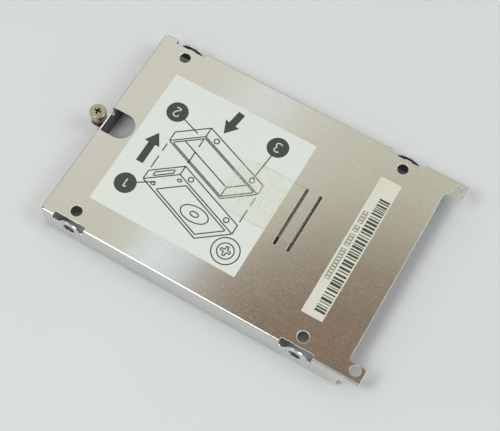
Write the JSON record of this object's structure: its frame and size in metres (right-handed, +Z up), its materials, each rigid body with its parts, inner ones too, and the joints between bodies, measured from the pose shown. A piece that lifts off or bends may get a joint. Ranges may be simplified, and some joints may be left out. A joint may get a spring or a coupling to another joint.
{
  "type": "hard drive caddy",
  "caption": "Folded sheet-metal tray for a 2.5 inch drive, with arched side screw tongues, rear fixing ears, a spring-loaded captive screw and a clear film pull strap.",
  "frame": {"origin": "on the table under the middle of the part's box", "axes": "+X from the captive screw to the rear ears, +Y across the tray, +Z up through the plate"},
  "size_m": [0.1124, 0.0716, 0.0115],
  "materials": {
    "tray_steel": "brushed lengthways",
    "plated_screw": "nickel plated, polished side",
    "spring_steel": "drawn wire and stamped ring",
    "label_paper": "matt printed label",
    "clear_film": "clear film, embossed"
  },
  "bodies": {
    "tray_body": {"tray": "tray_steel", "diagram_label": "label_paper", "barcode_label": "label_paper", "pull_strap": "clear_film", "screw_spring": "spring_steel"},
    "ring_body": {"retaining_ring": "spring_steel"},
    "screw_body": {"captive_screw": "plated_screw"}
  },
  "joints": [
    {"name": "screw_float", "type": "slide", "parent": "tray_body", "child": "ring_body", "axis": [0, 0, 1], "range_m": [-0.0011, 0], "stiffness_N_per_m": 250, "springref_m": 0.002, "deforming": ["screw_spring"]},
    {"name": "screw_turn", "type": "hinge", "parent": "ring_body", "child": "screw_body", "pos_m": [-0.05298, 0, 0.0095], "axis": [0, 0, 1], "continuous": true}
  ]
}
